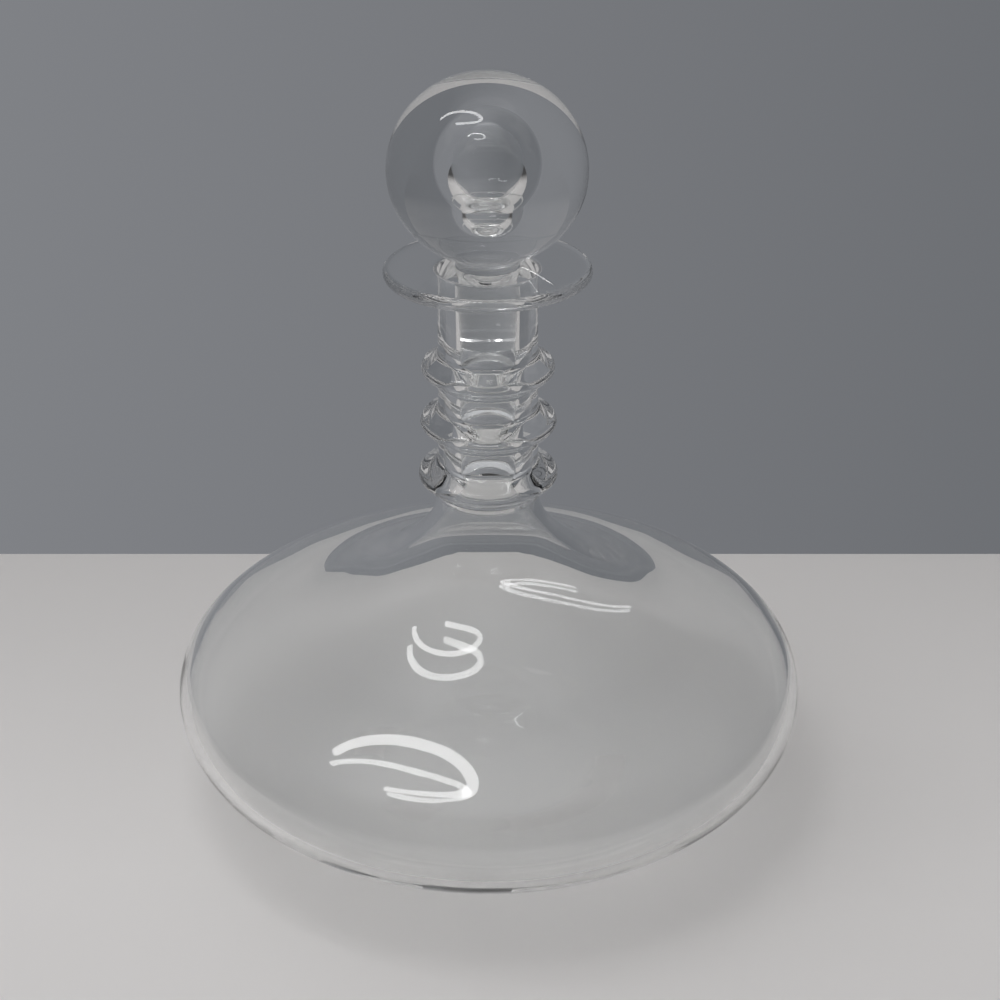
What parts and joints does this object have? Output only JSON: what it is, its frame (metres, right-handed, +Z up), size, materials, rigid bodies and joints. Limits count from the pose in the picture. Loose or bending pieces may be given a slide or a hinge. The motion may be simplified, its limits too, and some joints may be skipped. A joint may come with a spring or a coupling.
{
  "type": "ships decanter",
  "caption": "Clear glass ships decanter with a low wide bowl, ringed neck, flat pouring lip and a lift-out ball stopper on a tapered peg.",
  "frame": {"origin": "centre of the foot ring, on the surface that the decanter stands on", "axes": "+Z up along the axis of the bowl, neck and stopper; the form is round, so +X and +Y are arbitrary"},
  "size_m": [0.2, 0.2, 0.2312],
  "materials": {
    "clear_glass": "fire-polished clear blown glass",
    "stopper_glass": "clear solid glass with a polished peg"
  },
  "bodies": {
    "decanter": {"vessel": "clear_glass", "lip": "clear_glass", "neck_ring_upper": "clear_glass", "neck_ring_middle": "clear_glass", "neck_ring_lower": "clear_glass"},
    "stopper": {"stopper_ball": "stopper_glass", "stopper_peg": "stopper_glass"}
  },
  "joints": [
    {"name": "stopper_lift", "type": "slide", "parent": "decanter", "child": "stopper", "axis": [0, 0, 1], "range_m": [0, 0.06]}
  ]
}
